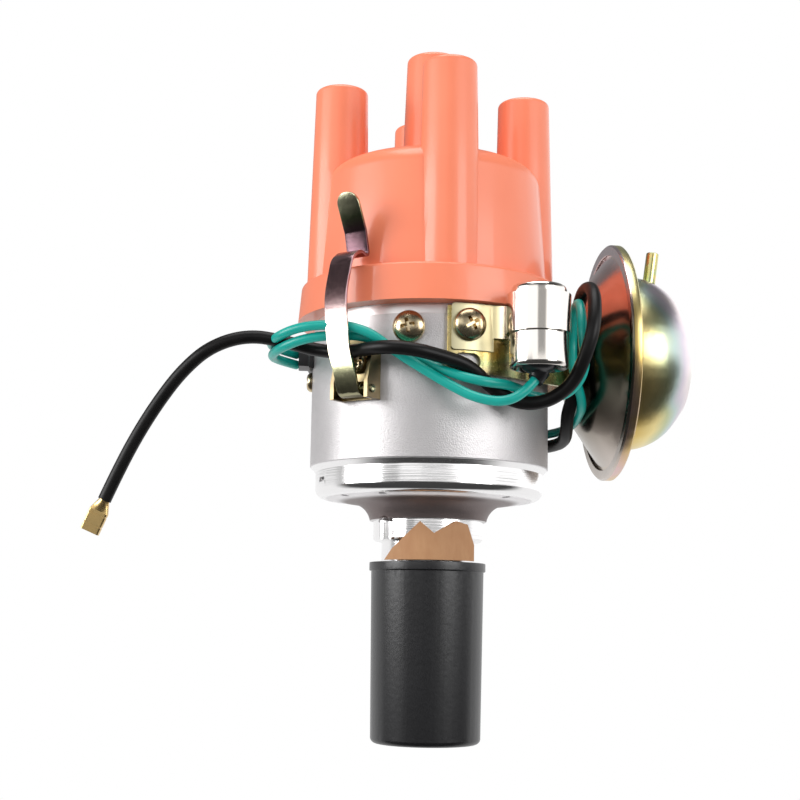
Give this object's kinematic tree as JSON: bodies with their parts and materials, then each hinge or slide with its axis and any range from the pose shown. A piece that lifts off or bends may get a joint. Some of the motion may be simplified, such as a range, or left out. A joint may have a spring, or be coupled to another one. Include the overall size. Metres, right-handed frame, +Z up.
{
  "type": "ignition distributor",
  "caption": "Ignition distributor with clip-on cap, plug lead towers, vacuum advance unit, condenser, wired leads and a covered drive shank.",
  "frame": {"origin": "on the shaft's axis at the shoulder under the clamp neck, where the shank begins", "axes": "+Z up the shaft towards the cap, +X towards the vacuum unit (6.5 degrees off its axis), -Y towards the side with the condenser and the screws"},
  "size_m": [0.1751, 0.0899, 0.2058],
  "materials": {
    "cast_alloy": "as cast, matt, with machined bands",
    "cap_moulding": "glossy orange moulding",
    "plated_steel": "yellow passivated zinc, iridescent",
    "plated_screws": "yellow passivated zinc",
    "bright_steel": "ground and polished",
    "spring_steel": "oiled wire and strip",
    "condenser_plating": "bright plated can",
    "bronze": "sintered",
    "electrode_brass": "bare brass",
    "carbon": "matt carbon",
    "dark_moulding": "phenolic moulding",
    "black_rubber": "soft, half gloss",
    "green_insulation": "smooth sleeving",
    "black_insulation": "smooth sleeving",
    "packing_paper": "brown paper"
  },
  "bodies": {
    "housing": {"housing_casting": "cast_alloy", "shaft_bushes": "bronze", "thrust_washers": "bright_steel", "seal_ring": "black_rubber", "breaker_base_plate": "bright_steel", "plate_screws": "plated_screws", "distributor_cap": "cap_moulding", "outer_electrodes": "electrode_brass", "middle_electrode": "electrode_brass", "carbon_brush": "carbon", "brush_spring": "spring_steel", "clip_bracket_front": "plated_steel", "clip_bracket_rear": "plated_steel", "clip_pins": "plated_screws", "front_screw": "plated_screws", "strap_screw": "plated_screws", "bracket_screws": "plated_screws", "ground_screw": "plated_screws", "vacuum_inner_shell": "plated_steel", "vacuum_outer_shell": "plated_steel", "hose_nipple": "plated_steel", "diaphragm": "black_rubber", "diaphragm_spring": "spring_steel", "unit_bracket": "plated_steel", "condenser_can": "condenser_plating", "condenser_plug": "black_rubber", "condenser_strap": "plated_steel", "terminal_block": "dark_moulding", "lead_elbow": "black_rubber", "condenser_lead": "green_insulation", "points_lead": "green_insulation", "coil_lead": "black_insulation", "blade_terminal": "electrode_brass", "paper_wrap": "packing_paper"},
    "shaft": {"drive_shaft": "bright_steel", "drive_dog": "bright_steel", "dog_pin": "bright_steel", "weight_plate": "bright_steel", "advance_springs": "spring_steel"},
    "weight_a": {"advance_weight_a": "bright_steel"},
    "weight_b": {"advance_weight_b": "bright_steel"},
    "cam": {"cam_sleeve": "bright_steel", "rotor_arm": "dark_moulding", "rotor_blade": "electrode_brass"},
    "breaker_plate": {"breaker_plate": "bright_steel", "fixed_contact": "bright_steel", "arm_spring": "spring_steel", "spring_post": "dark_moulding"},
    "breaker_arm": {"breaker_arm": "bright_steel"},
    "vacuum_rod": {"vacuum_rod": "bright_steel"},
    "clip_front": {"cap_clip_front": "plated_steel"},
    "clip_rear": {"cap_clip_rear": "plated_steel"},
    "shank_cover": {"shank_cover": "black_rubber"}
  },
  "joints": [
    {"name": "shaft_spin", "type": "hinge", "parent": "housing", "child": "shaft", "pos_m": [0, 0, 0], "axis": [0, 0, 1], "continuous": true},
    {"name": "weight_a_swing", "type": "hinge", "parent": "shaft", "child": "weight_a", "pos_m": [0, -0.0175, 0.025], "axis": [0, 0, -1], "range_deg": [0, 15], "stiffness_Nm_per_rad": 0.05, "deforming": ["advance_springs"]},
    {"name": "weight_b_swing", "type": "hinge", "parent": "shaft", "child": "weight_b", "pos_m": [0, 0.0175, 0.025], "axis": [0, 0, -1], "range_deg": [0, 15]},
    {"name": "cam_advance", "type": "hinge", "parent": "shaft", "child": "cam", "pos_m": [0, 0, 0.045], "axis": [0, 0, 1], "range_deg": [0, 10.1]},
    {"name": "breaker_plate_turn", "type": "hinge", "parent": "housing", "child": "breaker_plate", "pos_m": [0, 0, 0.0426], "axis": [0, 0, -1], "range_deg": [0, 10], "stiffness_Nm_per_rad": 0.05},
    {"name": "breaker_arm_swing", "type": "hinge", "parent": "breaker_plate", "child": "breaker_arm", "pos_m": [0.016, -0.0165, 0.0475], "axis": [0, 0, -1], "range_deg": [0, 0.72]},
    {"name": "vacuum_rod_pull", "type": "slide", "parent": "housing", "child": "vacuum_rod", "axis": [0.9936, 0.1132, 0], "range_m": [0, 0.0039], "deforming": ["diaphragm_spring", "diaphragm"]},
    {"name": "clip_front_open", "type": "hinge", "parent": "housing", "child": "clip_front", "pos_m": [-0.02091, -0.0322, 0.0396], "axis": [0.8387, -0.5446, 0], "range_deg": [0, 100]},
    {"name": "clip_rear_open", "type": "hinge", "parent": "housing", "child": "clip_rear", "pos_m": [0.02091, 0.0322, 0.0396], "axis": [-0.8387, 0.5446, 0], "range_deg": [0, 100]},
    {"name": "cover_pull", "type": "slide", "parent": "housing", "child": "shank_cover", "axis": [0, 0, -1], "range_m": [0, 0.06]}
  ],
  "couplings": [
    {"joint": "weight_b_swing", "follows": "weight_a_swing", "ratio": 1},
    {"joint": "cam_advance", "follows": "weight_a_swing", "ratio": 0.66667},
    {"joint": "vacuum_rod_pull", "follows": "breaker_plate_turn", "m_per_rad": 0.022}
  ]
}
